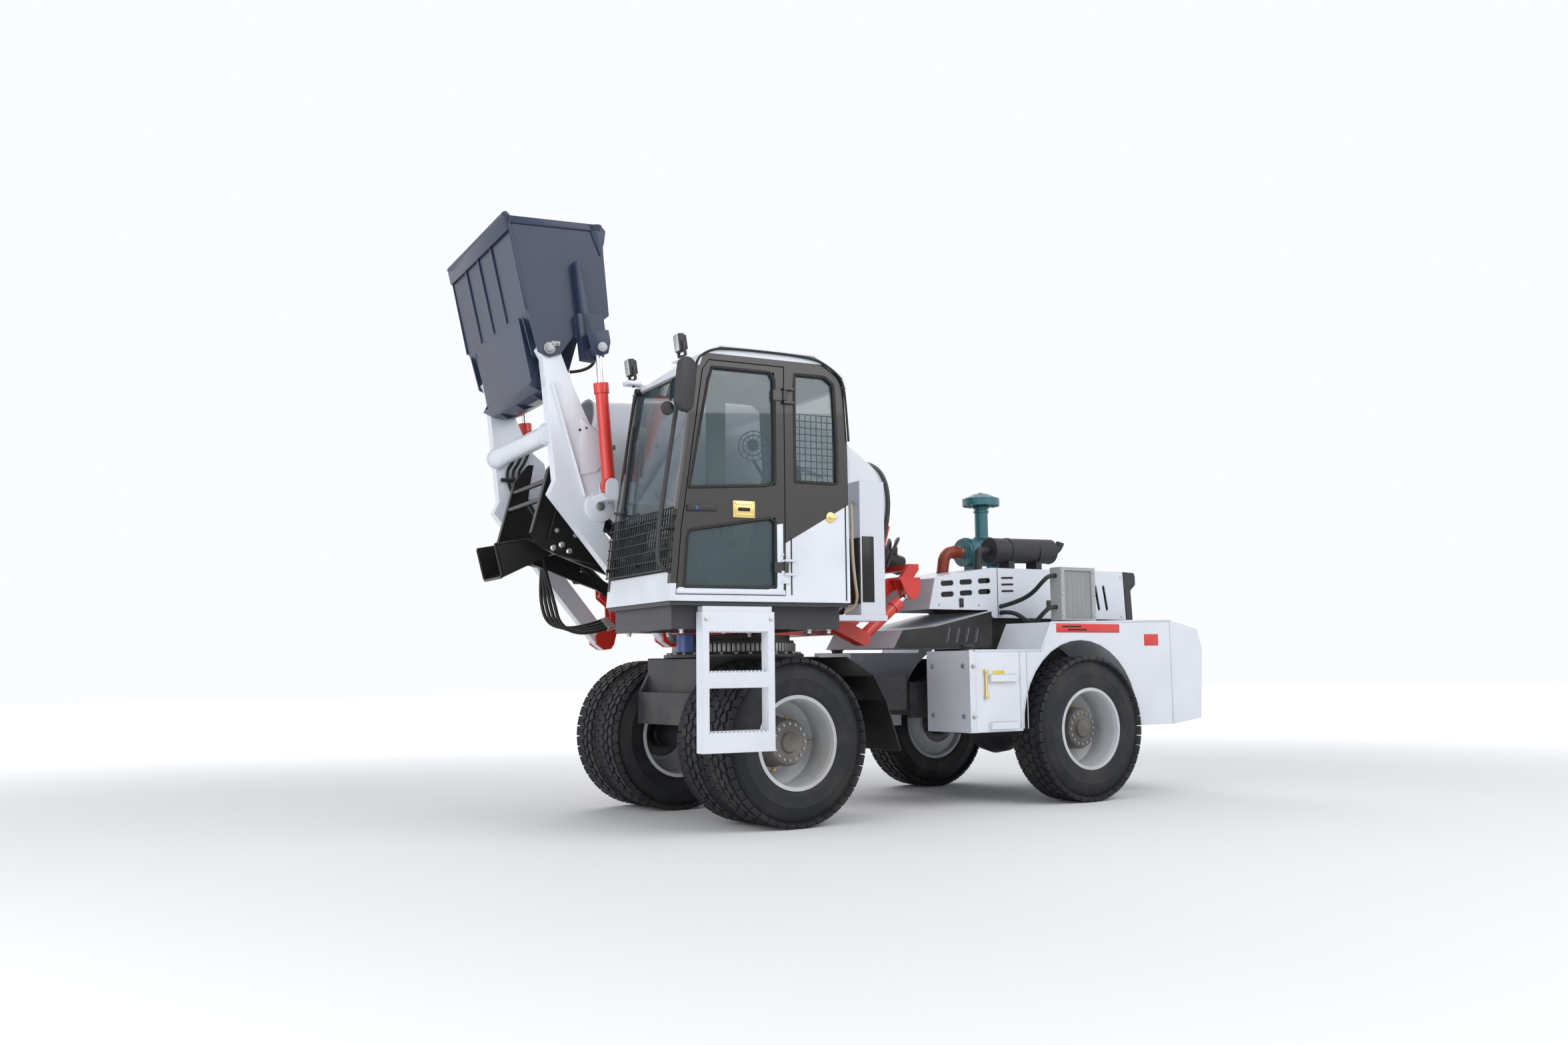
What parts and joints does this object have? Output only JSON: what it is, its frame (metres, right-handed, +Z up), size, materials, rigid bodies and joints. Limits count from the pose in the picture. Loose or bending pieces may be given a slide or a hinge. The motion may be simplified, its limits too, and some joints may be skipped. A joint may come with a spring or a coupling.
{
  "type": "self-loading concrete mixer",
  "caption": "Articulated self-loading concrete mixer: slewing platform with cab and tilting drum, raised loading bucket on a boom, twin front tyres.",
  "frame": {"origin": "middle of the footprint on the ground", "axes": "+X towards the tail, so the machine faces -X; +Y towards the machine's right; +Z up"},
  "size_m": [5.6788, 3.0262, 4.085],
  "materials": {
    "white_paint": "satin",
    "navy_paint": "satin",
    "red_paint": "gloss",
    "black_paint": "satin",
    "grey_paint": "satin",
    "teal_paint": "satin",
    "blue_paint": "satin",
    "engine_iron": "rough",
    "rim_paint": "satin",
    "tyre_rubber": "matte",
    "hose_rubber": "satin",
    "rod_chrome": "polished",
    "window_glass": "gloss",
    "seat_cover": "matte",
    "trim_plastic": "matte"
  },
  "bodies": {
    "front_chassis": {"front_frame": "grey_paint", "front_axle": "grey_paint", "front_mudguards": "grey_paint"},
    "rear_chassis": {"rear_frame": "grey_paint", "rear_axle": "grey_paint", "left_tank": "white_paint", "right_tank": "white_paint", "deck_cover": "black_paint", "engine_hood": "white_paint", "tail_cap": "grey_paint", "engine": "engine_iron", "muffler": "black_paint", "air_cleaner": "teal_paint", "intake_hose": "hose_rubber", "oil_cooler": "grey_paint"},
    "front_left_wheels": {"front_left_tyres": "tyre_rubber", "front_left_rims": "rim_paint"},
    "front_right_wheels": {"front_right_tyres": "tyre_rubber", "front_right_rims": "rim_paint"},
    "rear_left_wheel": {"rear_left_tyres": "tyre_rubber", "rear_left_rims": "rim_paint"},
    "rear_right_wheel": {"rear_right_tyres": "tyre_rubber", "rear_right_rims": "rim_paint"},
    "upper_frame": {"slew_ring": "grey_paint", "platform": "red_paint", "slew_motor": "blue_paint", "cab_base": "grey_paint", "cab_shell": "white_paint", "cab_glass": "window_glass", "seat": "seat_cover", "console": "trim_plastic", "ladder": "white_paint", "service_column": "white_paint", "discharge_hopper": "black_paint"},
    "door": {"cab_door": "black_paint", "door_glass": "window_glass"},
    "loading_boom": {"boom": "white_paint"},
    "loading_bucket": {"bucket": "navy_paint"},
    "gate": {"bucket_gate": "navy_paint"},
    "drum_cradle": {"drum_frame": "red_paint", "drum_drive": "grey_paint"},
    "mixing_drum": {"drum": "white_paint"},
    "pouring_chute": {"chute": "black_paint"},
    "lift_barrel_pair": {"lift_barrels": "black_paint"},
    "lift_rod_pair": {"lift_rods": "rod_chrome"},
    "tilt_barrel_pair": {"tilt_barrels": "red_paint"},
    "tilt_rod_pair": {"tilt_rods": "rod_chrome"},
    "drum_barrel_pair": {"drum_cylinder_barrels": "red_paint"},
    "drum_rod_pair": {"drum_cylinder_rods": "rod_chrome"}
  },
  "joints": [
    {"name": "front_left_roll", "type": "hinge", "parent": "front_chassis", "child": "front_left_wheels", "pos_m": [-1.24358, -0.86107, 0.5425], "axis": [0, 1, 0], "continuous": true},
    {"name": "front_right_roll", "type": "hinge", "parent": "front_chassis", "child": "front_right_wheels", "pos_m": [-1.24358, 0.65093, 0.5425], "axis": [0, 1, 0], "continuous": true},
    {"name": "steer", "type": "hinge", "parent": "front_chassis", "child": "rear_chassis", "pos_m": [-0.09358, -0.10507, 0.825], "axis": [0, 0, 1], "range_deg": [-30, 30]},
    {"name": "rear_left_roll", "type": "hinge", "parent": "rear_chassis", "child": "rear_left_wheel", "pos_m": [1.44042, -1.00507, 0.5425], "axis": [0, 1, 0], "continuous": true},
    {"name": "rear_right_roll", "type": "hinge", "parent": "rear_chassis", "child": "rear_right_wheel", "pos_m": [1.44042, 0.79493, 0.5425], "axis": [0, 1, 0], "continuous": true},
    {"name": "slew", "type": "hinge", "parent": "front_chassis", "child": "upper_frame", "pos_m": [-1.06358, -0.10507, 1.17], "axis": [0, 0, 1], "range_deg": [0, 70]},
    {"name": "cab_door_swing", "type": "hinge", "parent": "upper_frame", "child": "door", "pos_m": [-1.52746, -1.477, 2.185], "axis": [0, 0, 1], "range_deg": [0, 90]},
    {"name": "boom_lift", "type": "hinge", "parent": "upper_frame", "child": "loading_boom", "pos_m": [-1.53724, 0.53483, 1.245], "axis": [0.108, 0.9942, 0], "range_deg": [-93, 0]},
    {"name": "bucket_tip", "type": "hinge", "parent": "loading_boom", "child": "loading_bucket", "pos_m": [-2.42601, 0.63138, 3.178], "axis": [-0.108, -0.9942, 0], "range_deg": [-30, 30]},
    {"name": "gate_swing", "type": "hinge", "parent": "loading_bucket", "child": "gate", "pos_m": [-2.36239, 0.62447, 3.19], "axis": [0.108, 0.9942, 0], "range_deg": [0, 45]},
    {"name": "drum_tilt", "type": "hinge", "parent": "upper_frame", "child": "drum_cradle", "pos_m": [-1.59689, 0.54131, 1.6], "axis": [-0.108, -0.9942, 0], "range_deg": [0, 14]},
    {"name": "drum_spin", "type": "hinge", "parent": "drum_cradle", "child": "mixing_drum", "pos_m": [0.21246, 0.34475, 2.01], "axis": [-0.9532, 0.1036, 0.284], "continuous": true},
    {"name": "chute_fold", "type": "hinge", "parent": "upper_frame", "child": "pouring_chute", "pos_m": [-2.22321, 0.60935, 1.84], "axis": [0.108, 0.9942, 0], "range_deg": [-20, 40]},
    {"name": "lift_barrel_swing", "type": "hinge", "parent": "upper_frame", "child": "lift_barrel_pair", "pos_m": [-1.46765, 0.52727, 1.56], "axis": [0.108, 0.9942, 0], "range_deg": [-92, 1]},
    {"name": "lift_rod_slide", "type": "slide", "parent": "lift_barrel_pair", "child": "lift_rod_pair", "axis": [-0.7221, 0.0784, 0.6873], "range_m": [-0.01, 0.48]},
    {"name": "tilt_barrel_swing", "type": "hinge", "parent": "loading_boom", "child": "tilt_barrel_pair", "pos_m": [-2.04426, 0.58991, 2.25], "axis": [0.108, 0.9942, 0], "range_deg": [-4, 4]},
    {"name": "tilt_rod_slide", "type": "slide", "parent": "tilt_barrel_pair", "child": "tilt_rod_pair", "axis": [-0.0858, 0.0093, 0.9963], "range_m": [-0.16, 0.16]},
    {"name": "drum_barrel_swing", "type": "hinge", "parent": "upper_frame", "child": "drum_barrel_pair", "pos_m": [-0.18718, 0.38816, 1.225], "axis": [-0.108, -0.9942, 0], "range_deg": [-1, 28]},
    {"name": "drum_rod_slide", "type": "slide", "parent": "drum_barrel_pair", "child": "drum_rod_pair", "axis": [0.7741, -0.0841, 0.6274], "range_m": [-0.01, 0.34]}
  ],
  "couplings": [
    {"joint": "lift_barrel_swing", "follows": "boom_lift", "ratio": 0.98},
    {"joint": "lift_rod_slide", "follows": "boom_lift", "m_per_rad": -0.285},
    {"joint": "tilt_barrel_swing", "follows": "bucket_tip", "ratio": 0.07},
    {"joint": "tilt_rod_slide", "follows": "bucket_tip", "m_per_rad": 0.284},
    {"joint": "drum_barrel_swing", "follows": "drum_tilt", "ratio": 1.95},
    {"joint": "drum_rod_slide", "follows": "drum_tilt", "m_per_rad": 1.36}
  ]
}
